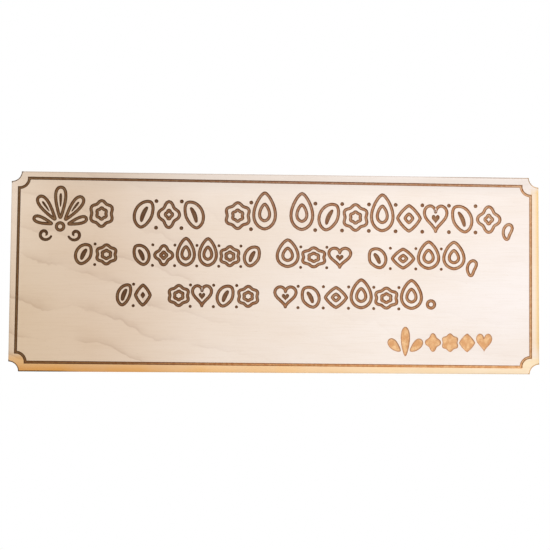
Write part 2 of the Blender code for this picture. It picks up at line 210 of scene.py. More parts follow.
def motif(kind, foot, width, height):
    middle = foot + 0.5j * height
    if kind == "leaf":
        return leaf_motif(foot, width, height, 1)
    if kind == "leaf_back":
        return leaf_motif(foot, width, height, -1)
    if kind == "rosette":
        return with_eye(fitted(lobed(6, 0.09), foot, width, height), middle, 0.44)
    if kind == "clover":
        return with_eye(fitted(lobed(4, 0.17), foot, width, height), middle, 0.34)
    if kind == "diamond":
        return with_eye(fitted(diamond(), foot, width, height), middle, 0.34)
    if kind == "heart":
        return with_eye(fitted(heart_outline(), foot, width, height), foot + 0.46j * height, 0.36, "solid")
    return bud_motif(foot, width, TALL_MOTIF * height)


def word(foot_z, height, left, right, kinds):
    """One word's motifs, spread evenly between its two ends, with seeds between them."""
    kinds = kinds.split()
    pitch = (right - left) * MM / len(kinds)
    loops = []
    for index, kind in enumerate(kinds):
        foot = left * MM + pitch * (index + 0.5) + 1j * (foot_z * MM + GROOVE_WIDTH / 2)
        loops += motif(kind, foot, pitch - GROOVE_WIDTH - MOTIF_GAP, height * MM - GROOVE_WIDTH)
    radius = SEED_SIZE * height * MM
    for index in range(1, len(kinds)):
        for seed_z in (foot_z * MM + 0.6 * radius, (foot_z + height) * MM - 0.6 * radius):
            seed = complex(left * MM + pitch * index, seed_z)
            loops.append(("solid", ring(seed, radius, SEED_STEPS)))
    return loops


def drop(foot_z, x):
    """The leaning drop that closes a line."""
    spine = bowed_spine(complex(x - 1.6, foot_z - 3.6) * MM, complex(x + 0.8, foot_z + 4.6) * MM, 0.14)
    return ("outline", blade(spine, 4.4 * MM, 0.9, 0.25))


def scroll(centre, side):
    """A spiral stroke that winds in towards its centre."""
    return lambda t: centre - (3.9 - 3.4 * t) * MM * side * np.exp(1j * side * (0.2 + 7.0 * t))


def fan(foot):
    """The large opening ornament: five petals over a seed and two scrolls."""
    loops = [("outline", ring(foot, 2.1 * MM))]
    for step in (-2, -1, 0, 1, 2):
        direction = 1j * np.exp(-1j * step * math.radians(36))
        length = (17.4 - 1.75 * step ** 2) * MM
        base = foot + 5.2 * MM * direction
        spine = bowed_spine(base, base + length * direction, 0)
        loops.append(("outline", blade(spine, 0.29 * length, 0.9, 0.6)))
        if abs(step) < 2:
            vein = bowed_spine(base + 0.35 * length * direction, base + 0.8 * length * direction, 0)
            loops.append(("solid", blade(vein, 0.09 * length, 0.6, 0.3)))
    for side in (-1, 1):
        curl = scroll(foot + complex(side * 8.6, -4.4) * MM, side)
        loops.append(("solid", blade(curl, GROOVE_WIDTH, 0.3)))
    return loops


def engraved_loops():
    """Every loop that is cut at groove depth, without the border."""
    loops = fan(FAN_FOOT)
    for foot_z, height, words in ORNAMENT_LINES:
        for left, right, kinds in words:
            loops += word(foot_z, height, left, right, kinds)
    for foot_z, x in LINE_DROPS:
        loops.append(drop(foot_z, x))
    loops.append(("outline", ring(complex(*LAST_DOT) * MM, 2.1 * MM)))
    return loops


def pocket_loops():
    """The filled sprig low on the right, which is cut at pocket depth."""
    loops = []
    for step in (-1, 0, 1):
        direction = 1j * np.exp(-1j * step * math.radians(43))
        base = SPRIG_FOOT + 4.0 * abs(step) * MM * direction
        spine = bowed_spine(base, base + (17.0 - 7.4 * abs(step)) * MM * direction, -0.06 * step)
        loops.append(blade(spine, 5.2 * MM, 1.0, 0.3))
    foot_z, height, left, right, kinds = SPRIG_LINE
    kinds = kinds.split()
    pitch = (right - left) * MM / len(kinds)
    for index, kind in enumerate(kinds):
        foot = left * MM + pitch * (index + 0.5) + 1j * foot_z * MM
        _, outline = motif(kind, foot, pitch - MOTIF_GAP, height * MM)[0]
        loops.append(outline)
    return loops


# ---------------------------------------------------------------- offset contours

def anticlockwise(loop):
    area = np.sum(loop.real * np.roll(loop, -1).imag - loop.imag * np.roll(loop, -1).real)
    return loop if area > 0 else loop[::-1]


def offset_loop(loop, distance):
    """The loop moved outwards by distance, round its tips, without the stretches that fold over."""
    loop = anticlockwise(loop)
    if distance == 0:
        return loop
    along = np.roll(loop, -1) - np.roll(loop, 1)
    normal = -1j * along / np.abs(along)
    turn = np.angle(np.roll(normal, -1) / normal)
    moved = []
    for index in range(len(loop)):
        fan_steps = max(1, int(abs(turn[index]) / 0.2))
        for step in range(fan_steps):
            part = step / fan_steps
            spot = loop[index] + part * (loop[(index + 1) % len(loop)] - loop[index])
            moved.append(spot + distance * normal[index] * np.exp(1j * turn[index] * part))
    moved = np.array(moved)
    side = np.roll(loop, -1) - loop
    run = ((moved[:, None] - loop) * np.conj(side)).real / np.abs(side) ** 2
    nearest = loop + np.clip(run, 0, 1) * side
    clear = np.abs(moved[:, None] - nearest).min(axis=1)
    return moved[clear > 0.98 * abs(distance)]


def notched_rectangle(width, height, radius, grow=0.0):
    """A rectangle with its corners scooped out by arcs about them, its outline moved out by grow."""
    radius -= grow
    tilt = math.asin(grow / radius)
    points = []
    for x, z, start in ((1, 1, 1.5), (-1, 1, 0), (-1, -1, 0.5), (1, -1, 1)):
        corner = complex(x * width / 2, z * height / 2)
        for step in range(NOTCH_STEPS + 1):
            swing = (math.pi / 2 + 2 * tilt) * step / NOTCH_STEPS
            points.append(corner + radius * np.exp(1j * (math.pi * start + tilt - swing)))
    return np.array(points)


def board_loop(grow=0.0):
    return notched_rectangle(WIDTH, HEIGHT, NOTCH_RADIUS, grow)


def as_engraved(loop):
    """The loop moved from square and centred to where the laser's work lies on the blank."""
    return loop * np.exp(1j * ENGRAVING_TURN) + ENGRAVING_SHIFT


def border_loop(grow):
    inset = 2 * BORDER_INSET
    return as_engraved(notched_rectangle(WIDTH - inset, HEIGHT - inset, NOTCH_RADIUS, grow))


class Relief:
    """Contour loops of the engraved face: each has a depth, and where it is burnt."""

    def __init__(self):
        self.points = []
        self.values = []
        self.edges = []

    def add(self, loop, depth, scorch=0.0, amber=0.0, rim=0.0):
        if len(loop) < 8:
            return
        start = len(self.points)
        self.points += [Vector((spot.real, spot.imag)) for spot in loop]
        self.values += [(depth * MM, scorch, amber, rim)] * len(loop)
        self.edges += [(start + i, start + (i + 1) % len(loop)) for i in range(len(loop))]

    def groove(self, centre_line, moved, width=GROOVE_WIDTH):
        """A groove along a line that moved(distance) gives on either side."""
        for inset, depth, scorch in GROOVE_LEVELS:
            for side in (1, -1):
                self.add(moved(side * (width / 2 - inset * MM)), depth, scorch)
        self.add(centre_line, *GROOVE_FLOOR)

    def solid(self, loop):
        """A cleared area inside the loop, at groove depth."""
        for inset, depth, scorch in GROOVE_LEVELS:
            self.add(offset_loop(loop, -inset * MM), depth, scorch)

    def pocket(self, loop):
        """A shallow cleared area inside the loop, toasted amber."""
        for inset, depth, scorch in POCKET_LEVELS:
            self.add(offset_loop(loop, -inset * MM), depth, scorch, amber=min(1.0, inset / 0.05))


# ---------------------------------------------------------------- mesh helpers

def collection(name):
    group = bpy.data.collections.new(name)
    bpy.context.scene.collection.children.link(group)
    return group


PIECES = collection("plaque_pieces")


def new_piece(name, work):
    mesh = bpy.data.meshes.new(name)
    work.to_mesh(mesh)
    work.free()
    piece = bpy.data.objects.new(name, mesh)
    PIECES.objects.link(piece)
    return piece


def smooth(piece, degrees):
    piece.data.shade_smooth()
    piece.data.set_sharp_from_angle(angle=math.radians(degrees))


def stands_for(piece, node, surface):
    piece.data.materials.clear()
    piece.data.materials.append(surface)
    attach(piece, "root")
    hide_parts(node)


def ring_of_verts(work, loop, y):
    return [work.verts.new((CENTRE_X + spot.real, y, CENTRE_Z + spot.imag)) for spot in loop]


def bridge(work, first, second):
    count = len(first)
    for index in range(count):
        following = (index + 1) % count
        work.faces.new((first[index], first[following], second[following], second[index]))


def outline_stack(name, levels):
    """A solid with the board's outline: levels are (grow, y) from the front to the back."""
    work = bmesh.new()
    rings = [ring_of_verts(work, board_loop(grow), y) for grow, y in levels]
    for front, back in zip(rings, rings[1:]):
        bridge(work, front, back)
    work.faces.new(rings[0])
    work.faces.new(rings[-1])
    bmesh.ops.recalc_face_normals(work, faces=work.faces)
    return new_piece(name, work)


def turned(name, profile, steps, centre):
    """A profile of (radius, y) turned about the Y axis through centre."""
    work = bmesh.new()
    rings = []
    for radius, y in profile:
        if radius == 0:
            rings.append([work.verts.new((centre[0], y, centre[2]))])
            continue
        spots = ring(complex(centre[0], centre[2]), radius, steps)
        rings.append([work.verts.new((spot.real, y, spot.imag)) for spot in spots])
    for first, second in zip(rings, rings[1:]):
        if len(first) > 1 and len(second) > 1:
            bridge(work, first, second)
            continue
        tip, rim = (first[0], second) if len(first) == 1 else (second[0], first)
        for index in range(steps):
            work.faces.new((tip, rim[index], rim[(index + 1) % steps]))
    bmesh.ops.recalc_face_normals(work, faces=work.faces)
    return new_piece(name, work)


# ---------------------------------------------------------------- material graphs

class Graph:
    """A short way to write a material's nodes: values may be numbers, vectors or sockets."""

    def __init__(self, name):
        self.material = bpy.data.materials.new(name)
        self.material.use_nodes = True
        self.nodes = self.material.node_tree.nodes
        self.links = self.material.node_tree.links
        self.shader = self.nodes["Principled BSDF"]
        self.place = self.nodes.new("ShaderNodeTexCoord").outputs["Object"]

    def put(self, socket, value):
        if isinstance(value, bpy.types.NodeSocket):
            self.links.new(value, socket)
        elif isinstance(value, tuple) and len(value) == 3 and socket.type == "RGBA":
            socket.default_value = (*value, 1)
        else:
            socket.default_value = value

    def math(self, operation, *values, clamp=False):
        node = self.nodes.new("ShaderNodeMath")
        node.operation = operation
        node.use_clamp = clamp
        for socket, value in zip(node.inputs, values):
            self.put(socket, value)
        return node.outputs[0]

    def scaled(self, scale, shift=(0, 0, 0), turn=(0, 0, 0)):
        node = self.nodes.new("ShaderNodeMapping")
        self.put(node.inputs["Vector"], self.place)
        self.put(node.inputs["Scale"], scale)
        self.put(node.inputs["Location"], shift)
        self.put(node.inputs["Rotation"], turn)
        return node.outputs[0]

    def noise(self, vector, detail=2.0, roughness=0.5):
        node = self.nodes.new("ShaderNodeTexNoise")
        self.put(node.inputs["Vector"], vector)
        node.inputs["Scale"].default_value = 1.0
        node.inputs["Detail"].default_value = detail
        node.inputs["Roughness"].default_value = roughness
        return node.outputs[0]

    def ramp(self, value, *stops):
        """A colour ramp: stops are (position, colour), with a colour as a grey or a triple."""
        node = self.nodes.new("ShaderNodeValToRGB")
        ramp = node.color_ramp
        while len(ramp.elements) < len(stops):
            ramp.elements.new(0.5)
        for element, (position, colour) in zip(ramp.elements, stops):
            element.position = position
            element.color = (*colour, 1) if isinstance(colour, tuple) else (colour, colour, colour, 1)
        self.put(node.inputs[0], value)
        return node.outputs[0]

    def range(self, value, low, high, to_low=0.0, to_high=1.0, steps="SMOOTHSTEP"):
        node = self.nodes.new("ShaderNodeMapRange")
        node.interpolation_type = steps
        names = ("Value", "From Min", "From Max", "To Min", "To Max")
        for name, given in zip(names, (value, low, high, to_low, to_high)):
            self.put(node.inputs[name], given)
        return node.outputs[0]

    def mix(self, factor, first, second, blend="MIX"):
        node = self.nodes.new("ShaderNodeMix")
        node.data_type = "RGBA"
        node.blend_type = blend
        node.clamp_factor = True
        self.put(node.inputs[0], factor)
        self.put(node.inputs[6], first)
        self.put(node.inputs[7], second)
        return node.outputs[2]

    def axes(self, place=None):
        node = self.nodes.new("ShaderNodeSeparateXYZ")
        self.put(node.inputs[0], place or self.place)
        return node.outputs

    def attribute(self, name):
        node = self.nodes.new("ShaderNodeAttribute")
        node.attribute_name = name
        return node.outputs["Fac"]

    def bump(self, height, distance, under=None):
        node = self.nodes.new("ShaderNodeBump")
        self.put(node.inputs["Height"], height)
        node.inputs["Distance"].default_value = distance
        node.inputs["Strength"].default_value = 1.0
        if under is not None:
            self.put(node.inputs["Normal"], under)
        return node.outputs[0]

    def finish(self, colour, roughness, normal, **constants):
        self.put(self.shader.inputs["Base Color"], colour)
        self.put(self.shader.inputs["Roughness"], roughness)
        self.put(self.shader.inputs["Normal"], normal)
        for name, value in constants.items():
            self.put(self.shader.inputs[name.replace("_", " ")], value)
        return self.material


# ---------------------------------------------------------------- wood

def maple_tones(graph, tone, presence):
    """Rotary-cut maple over a base tone: mottling, wandering growth lines and fibre, along X."""
    broad = graph.noise(graph.scaled((10, 1, 22)), detail=3.0, roughness=0.55)
    tone = graph.mix(graph.range(broad, 0.32, 0.68), tone, (0.96, 0.93, 0.89), "MULTIPLY")

    axes = graph.axes()
    warp = graph.noise(graph.scaled((15, 1, 26), (0.31, 0, 0.17)), detail=1.0)
    jog = graph.noise(graph.scaled((62, 1, 48), (0.9, 0, 0.4)), detail=3.0, roughness=0.55)
    slope = graph.math("ADD", graph.math("MULTIPLY", axes[2], 52.0), graph.math("MULTIPLY", axes[0], 14.0))
    slope = graph.math("ADD", slope, graph.math("MULTIPLY", warp, 1.3))
    contour = graph.math("FRACT", graph.math("ADD", slope, graph.math("MULTIPLY", jog, 0.62)))
    line = graph.ramp(contour, (0.0, 0.0), (0.04, 0.9), (0.1, 0.5), (0.24, 0.16), (0.5, 0.0))
    strength = graph.noise(graph.scaled((26, 1, 50), (0.7, 0, 0.2)), detail=2.0)
    line = graph.math("MULTIPLY", line, graph.range(strength, 0.34, 0.6, 0.05, 1.0))
    line = graph.math("MULTIPLY", line, presence)
    tone = graph.mix(line, tone, (0.80, 0.755, 0.73), "MULTIPLY")

    fibre = graph.noise(graph.scaled((60, 40, 1500)), detail=4.0, roughness=0.65)
    tone = graph.mix(graph.range(fibre, 0.4, 0.8), tone, (0.965, 0.95, 0.93), "MULTIPLY")
    fleck = graph.noise(graph.scaled((420, 100, 3600), (0.05, 0, 0.4)), detail=2.0, roughness=0.6)
    tone = graph.mix(graph.range(fleck, 0.64, 0.8), tone, (0.88, 0.84, 0.79), "MULTIPLY")
    return tone, fibre


def to_edge(graph, axis, low, high):
    """How far a point lies in from the nearer of the planes low and high on an axis."""
    from_middle = graph.math("ABSOLUTE", graph.math("SUBTRACT", axis, (low + high) / 2))
    return graph.math("SUBTRACT", (high - low) / 2, from_middle)


def distance(graph, first, second, offset=0.0):
    first = graph.math("SUBTRACT", first, offset)
    second = graph.math("SUBTRACT", second, offset)
    first = graph.math("MULTIPLY", first, first)
    second = graph.math("MULTIPLY", second, second)
    return graph.math("SQRT", graph.math("ADD", first, second))


def within(graph, reach, limit):
    """1 where the reach is short of the limit and 0 past it, eased at the limit."""
    return graph.range(reach, limit - 0.2 * MM, limit + 0.2 * MM, 1.0, 0.0)


def engraving_axes(graph):
    """Coordinates in which the engraving lies square and centred on the board."""
    centre = complex(CENTRE_X, CENTRE_Z)
    shift = centre - (centre + ENGRAVING_SHIFT) * np.exp(-1j * ENGRAVING_TURN)
    turned_back = graph.scaled((1, 1, 1), (shift.real, 0, shift.imag), (0, ENGRAVING_TURN, 0))
    return graph.axes(turned_back)


def painted_edge_light(graph, tone, axes, cut, low_edge):
    """Painted warm light outside the border: along the bottom, into its notches, and up the right."""
    right_edge = graph.math("SUBTRACT", FACE_HIGH[0], axes[0])
    x_edge = to_edge(graph, cut[0], FACE_LOW[0], FACE_HIGH[0])
    z_edge = to_edge(graph, cut[2], FACE_LOW[2], FACE_HIGH[2])
    notch = distance(graph, x_edge, z_edge, BORDER_INSET)
    outside = within(graph, x_edge, BORDER_INSET)
    outside = graph.math("MAXIMUM", outside, within(graph, z_edge, BORDER_INSET))
    outside = graph.math("MAXIMUM", outside, within(graph, notch, NOTCH_RADIUS))

    # Painted warm light along the bottom margin, deepest near the edge
    cloud = graph.noise(graph.scaled((45, 1, 60), (0.3, 0, 0.9)), detail=3.0)
    low = graph.math("MULTIPLY", outside, graph.range(low_edge, 7.0 * MM, 11.5 * MM, 1.0, 0.0))
    low = graph.math("MULTIPLY", low, graph.range(axes[0], -0.03, 0.14, 1.0, 0.5))
    low = graph.math("MULTIPLY", low, graph.range(cloud, 0.3, 0.65, 0.85, 1.0))
    depth = graph.range(low_edge, 0.2 * MM, 6.0 * MM, 1.0, 0.0)
    depth = graph.math("MULTIPLY", depth, graph.range(axes[0], -0.15, 0.02, 1.0, 0.3))
    pale = graph.mix(graph.range(axes[0], 0.0, 0.14), (1.06, 0.81, 0.48), (1.08, 0.9, 0.4))
    amber = graph.mix(depth, pale, (0.97, 0.56, 0.15))
    tone = graph.mix(low, tone, amber, "MULTIPLY")

    # Painted warm light up the right margin, deepest near the edge
    right = within(graph, graph.math("SUBTRACT", FACE_HIGH[0], cut[0]), BORDER_INSET)
    right = graph.math("MULTIPLY", right, graph.range(z_edge, 4.0 * MM, 8.5 * MM))
    right = graph.math("MULTIPLY", right, graph.range(low_edge, 7.0 * MM, 20.0 * MM, 0.35, 1.0))
    depth = graph.range(right_edge, 0.4 * MM, 2.8 * MM, 1.0, 0.0)
    amber = graph.mix(depth, (1.0, 0.91, 0.76), (0.96, 0.74, 0.36))
    return graph.mix(right, tone, amber, "MULTIPLY")


def rim_char_and_shade(graph, axes, x_edge, z_edge, low_edge):
    """Where the cut edge is darkened: charred in the notches and faintly elsewhere, and painted shade low
    on the left.
    """
    notch = graph.range(distance(graph, x_edge, z_edge), 6.3 * MM, 7.2 * MM, 0.9, 0.0)
    # Painted shade: the dark line along the foot is kept to the left, the shaded side
    foot = graph.range(low_edge, 0.6 * MM, 1.2 * MM, 1.0, 0.0)
    foot = graph.math("MULTIPLY", foot, graph.range(axes[0], -0.135, -0.105, 1.0, 0.2))
    top = graph.range(low_edge, HEIGHT - 1.0 * MM, HEIGHT - 0.5 * MM, 0.12, 0.4)
    top = graph.math("ADD", top, graph.range(axes[0], 0.08, 0.12, 0.0, 0.25))
    burn = graph.math("MAXIMUM", top, graph.math("MAXIMUM", notch, foot))
    return graph.math("MULTIPLY", graph.attribute("rim"), burn)


def char_and_painted_light(graph, cut, grit, scorch):
    """Scorched wood, with painted light and shade: dark brown at the left and orange brown at the right as
    the light falls, darkest on steep walls in painted shade and lighter on the floors as a painted
    highlight.
    """
    # Painted light and shade: the char darker at the left, the shaded side, and lighter at the right,
    # where the light falls
    along = graph.range(cut[0], -0.15, 0.15, steps="LINEAR")
    low_edge = graph.math("SUBTRACT", cut[2], FACE_LOW[2])
    right_edge = graph.math("SUBTRACT", FACE_HIGH[0], cut[0])
    inner = BORDER_INSET + 1.1 * MM
    char = graph.ramp(
        along,
        (0.0, (0.165, 0.085, 0.029)), (0.25, (0.19, 0.095, 0.038)), (0.55, (0.37, 0.195, 0.1)),
        (0.8, (0.45, 0.235, 0.112)), (0.95, (0.52, 0.29, 0.145)), (1.0, (0.68, 0.42, 0.21)),
    )
    low = graph.ramp(
        along,
        (0.0, (0.19, 0.082, 0.018)), (0.2, (0.25, 0.112, 0.034)), (0.45, (0.6, 0.29, 0.105)),
        (1.0, (0.78, 0.46, 0.22)),
    )
    # Painted light: grooves lighter and cooler higher up
    high = graph.range(low_edge, 0.06, 0.1)
    char = graph.mix(high, char, (1.06, 1.12, 1.28), "MULTIPLY")
    # Painted light and shade on the bottom border: darker at the left, orange at the right
    char = graph.mix(graph.range(low_edge, inner, inner + 1.0 * MM, 0.9, 0.0), char, low)
    # Painted shade on the inner side of the right border
    right_line = graph.range(right_edge, inner, inner + 1.0 * MM, 1.0, 0.0)
    char = graph.mix(right_line, char, (0.86, 0.83, 0.8), "MULTIPLY")
    # Painted light on the far side of the bottom and right border, towards the right
    outer = graph.math("MINIMUM", low_edge, right_edge)
    outer = graph.range(outer, BORDER_INSET - 0.95 * MM, BORDER_INSET - 0.05 * MM, 1.0, 0.0)
    outer = graph.math("MULTIPLY", outer, graph.range(cut[0], 0.0, 0.08))
    char = graph.mix(outer, char, (1.6, 1.65, 1.65), "MULTIPLY")
    char = graph.mix(graph.range(grit, 0.3, 0.7, 0.0, 0.75), char, (0.78, 0.74, 0.70), "MULTIPLY")
    patch = graph.noise(graph.scaled((420, 1, 420), (0.2, 0, 0.6)), detail=2.0)
    char = graph.mix(graph.range(patch, 0.38, 0.62), char, (0.9, 0.74, 0.6), "MULTIPLY")
    # Painted shade on the steep walls, painted highlight on the groove floors
    wall = graph.mix(graph.range(scorch, 0.88, 0.98), (1.24, 1.29, 1.42), (0.5, 0.47, 0.42))
    return graph.mix(1.0, char, wall, "MULTIPLY")


def face_maple():
    """The face: satin maple, scorched where the laser cut it, with painted light and shade across it and
    painted warm light along two edges.
    """
    graph = Graph("maple_face")
    axes = graph.axes()
    along = graph.range(axes[0], -0.15, 0.15, steps="LINEAR")
    # Painted light and shade: the tone runs from darker tan at the left, the shaded side, to pale at the
    # right, where the light falls
    base = graph.ramp(
        along,
        (0.0, (0.68, 0.548, 0.43)), (0.015, (0.65, 0.518, 0.392)), (0.15, (0.67, 0.538, 0.428)),
        (0.37, (0.785, 0.684, 0.606)), (0.7, (0.832, 0.747, 0.69)), (1.0, (0.82, 0.75, 0.72)),
    )
    x_edge = to_edge(graph, axes[0], FACE_LOW[0], FACE_HIGH[0])
    z_edge = to_edge(graph, axes[2], FACE_LOW[2], FACE_HIGH[2])
    low_edge = graph.math("SUBTRACT", axes[2], FACE_LOW[2])
    # Painted shade low on the left
    low_left = graph.range(low_edge, 0.01, 0.08, 1.0, 0.0)
    low_left = graph.math("MULTIPLY", low_left, graph.range(axes[0], -0.13, -0.03, 1.0, 0.0))
    base = graph.mix(low_left, base, (0.97, 0.94, 0.89), "MULTIPLY")
    # Painted light higher up on the left
    high_left = graph.range(low_edge, 0.05, 0.1)
    high_left = graph.math("MULTIPLY", high_left, graph.range(axes[0], -0.145, -0.115, 1.0, 0.0))
    base = graph.mix(high_left, base, (1.09, 1.12, 1.18), "MULTIPLY")
    # Painted cool light along the top: greyer near the top edge, more so towards the right
    high = graph.range(low_edge, HEIGHT - 13.0 * MM, HEIGHT - 3.0 * MM)
    high = graph.math("MULTIPLY", high, graph.range(axes[0], -0.14, -0.08, 0.5, 1.0))
    base = graph.mix(high, base, (0.91, 0.915, 0.925), "MULTIPLY")
    figured = graph.range(axes[0], -0.11, 0.0, 1.0, 0.12)
    figured = graph.math("MULTIPLY", figured, graph.range(low_edge, 0.05, 0.1, 1.0, 0.45))
    tone, fibre = maple_tones(graph, base, figured)
    cut = engraving_axes(graph)
    # Painted warm light along the bottom and right margins
    tone = painted_edge_light(graph, tone, axes, cut, low_edge)

    # The rim's darkening: char in the notches, painted shade low on the left
    rim = rim_char_and_shade(graph, axes, x_edge, z_edge, low_edge)
    scorch = graph.math("MAXIMUM", graph.attribute("scorch"), rim)
    amber = graph.attribute("amber")
    grit = graph.noise(graph.scaled((900, 900, 900)), detail=3.0, roughness=0.7)
    raster = graph.noise(graph.scaled((260, 1, 5200)), detail=1.0)
    toast = graph.mix(graph.range(grit, 0.3, 0.7), (0.85, 0.54, 0.285), (0.75, 0.45, 0.21))
    singed = graph.noise(graph.scaled((380, 1, 300), (0.6, 0, 0.1)), detail=3.0)
    toast = graph.mix(graph.range(singed, 0.38, 0.6), toast, (0.83, 0.68, 0.56), "MULTIPLY")
    toast = graph.mix(graph.range(raster, 0.35, 0.65, 0.0, 0.4), toast, (0.8, 0.72, 0.65), "MULTIPLY")
    tone = graph.mix(amber, tone, toast)
    # Char with painted light and shade
    char = char_and_painted_light(graph, cut, grit, scorch)
    # Darker still on the rim: char, and painted shade low on the left
    char = graph.mix(graph.range(rim, 0.0, 0.3), char, (0.5, 0.5, 0.42), "MULTIPLY")
    tone = graph.mix(graph.range(scorch, 0.1, 0.9), tone, char)

    roughness = graph.range(fibre, 0.3, 0.7, 0.46, 0.58, steps="LINEAR")
    roughness = graph.math("ADD", roughness, graph.math("MULTIPLY", scorch, 0.35), clamp=True)
    normal = graph.bump(fibre, 0.02 * MM)
    normal = graph.bump(graph.math("MULTIPLY", grit, scorch), 0.12 * MM, under=normal)
    normal = graph.bump(graph.math("MULTIPLY", raster, amber), 0.08 * MM, under=normal)
    return graph.finish(tone, roughness, normal, Specular_IOR_Level=0.35)


def back_maple():
    """The unfinished back: plainer maple, smoked brown round its cut edge."""
    graph = Graph("maple_back")
    axes = graph.axes()
    cloud = graph.noise(graph.scaled((7, 1, 14), (0.5, 0, 0.3)), detail=2.0)
    base = graph.mix(graph.range(cloud, 0.35, 0.65), (0.74, 0.57, 0.41), (0.66, 0.49, 0.34))
    tone, fibre = maple_tones(graph, base, 0.55)
    x_edge = to_edge(graph, axes[0], BACK_LOW[0], BACK_HIGH[0])
    z_edge = to_edge(graph, axes[2], BACK_LOW[2], BACK_HIGH[2])
    notch = graph.math("SUBTRACT", distance(graph, x_edge, z_edge), NOTCH_RADIUS)
    edge = graph.math("MINIMUM", graph.math("MINIMUM", x_edge, z_edge), notch)
    smoke = graph.noise(graph.scaled((120, 120, 120)), detail=3.0)
    halo = graph.range(edge, 0.0, 1.8 * MM, 0.8, 0.0)
    halo = graph.math("MULTIPLY", halo, graph.range(smoke, 0.3, 0.7, 0.35, 1.0))
    tone = graph.mix(halo, tone, (0.22, 0.12, 0.055))
    roughness = graph.range(fibre, 0.3, 0.7, 0.58, 0.72, steps="LINEAR")
    return graph.finish(tone, roughness, graph.bump(fibre, 0.05 * MM), Specular_IOR_Level=0.3)


def burnt_edge(name, light, dark):
    """A ply's laser-cut edge: browned, with the beam's fine marks running through the thickness."""
    graph = Graph(name)
    marks = graph.noise(graph.scaled((2400, 12, 2400)), detail=2.0)
    smoke = graph.noise(graph.scaled((45, 90, 45), (0.4, 0.1, 0.2)), detail=4.0, roughness=0.6)
    grain = graph.noise(graph.scaled((90, 5200, 90)), detail=3.0, roughness=0.6)
    tone = graph.mix(graph.range(smoke, 0.32, 0.68), light, dark)
    tone = graph.mix(graph.range(grain, 0.35, 0.7, 0.0, 0.45), tone, tuple(0.5 * value for value in dark))
    tone = graph.mix(graph.range(marks, 0.45, 0.7, 0.0, 0.5), tone, tuple(0.6 * value for value in dark))
    normal = graph.bump(marks, 0.05 * MM)
    normal = graph.bump(grain, 0.03 * MM, under=normal)
    roughness = graph.range(smoke, 0.3, 0.7, 0.62, 0.85, steps="LINEAR")
    return graph.finish(tone, roughness, normal, Specular_IOR_Level=0.25)


# ---------------------------------------------------------------- hardware surfaces

def zinc_sheet():
    graph = Graph("zinc_plated_steel")
    rolled = graph.noise(graph.scaled((180, 180, 3800)), detail=3.0, roughness=0.6)
    spangle = graph.noise(graph.scaled((700, 700, 700)), detail=2.0)
    cloud = graph.noise(graph.scaled((140, 140, 140), (0.2, 0.5, 0.1)), detail=3.0)
    tone = graph.mix(graph.range(cloud, 0.3, 0.7), (0.66, 0.67, 0.68), (0.52, 0.52, 0.51))
    tone = graph.mix(graph.range(spangle, 0.55, 0.75, 0.0, 0.25), tone, (0.8, 0.8, 0.78))
    roughness = graph.range(rolled, 0.3, 0.7, 0.26, 0.44, steps="LINEAR")
    normal = graph.bump(rolled, 0.012 * MM)
    return graph.finish(tone, roughness, normal, Metallic=1.0)


def nail_wire():
    graph = Graph("nail_steel")
    hammered = graph.noise(graph.scaled((1300, 1300, 1300)), detail=2.0)
    haze = graph.noise(graph.scaled((500, 500, 500), (0.3, 0.2, 0.6)), detail=3.0)
    tone = graph.mix(graph.range(haze, 0.3, 0.7), (0.62, 0.61, 0.59), (0.44, 0.43, 0.41))
    roughness = graph.range(hammered, 0.3, 0.7, 0.22, 0.42, steps="LINEAR")
    return graph.finish(tone, roughness, graph.bump(hammered, 0.03 * MM), Metallic=1.0)


def black_rubber():
    graph = Graph("black_rubber")
    moulded = graph.noise(graph.scaled((2600, 2600, 2600)), detail=2.0)
    dust = graph.noise(graph.scaled((300, 300, 300), (0.6, 0.2, 0.4)), detail=4.0, roughness=0.65)
    tone = graph.mix(graph.range(dust, 0.45, 0.75), (0.022, 0.022, 0.023), (0.065, 0.062, 0.058))
    roughness = graph.range(dust, 0.3, 0.7, 0.62, 0.85, steps="LINEAR")
    return graph.finish(tone, roughness, graph.bump(moulded, 0.02 * MM), Specular_IOR_Level=0.4)


# ---------------------------------------------------------------- the board

def glue_planes():
    """The planes half-way across the gaps between plies, from the face to the back."""
    nodes = ["face_veneer"] + CORE_NODES + ["back_veneer"]
    return [(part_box(front)[1][1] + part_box(back)[0][1]) / 2 for front, back in zip(nodes, nodes[1:])]


def face_relief():
    relief = Relief()
    for inset, drop_down, burn in RIM_LEVELS:
        relief.add(board_loop(-inset * MM), drop_down, rim=burn)
    relief.groove(border_loop(0), border_loop, BORDER_WIDTH)
    for action, loop in engraved_loops():
        loop = as_engraved(loop)
        if action == "outline":
            relief.groove(loop, lambda distance: offset_loop(loop, distance))
        else:
            relief.solid(loop)
    for loop in pocket_loops():
        relief.pocket(as_engraved(loop))
    return relief


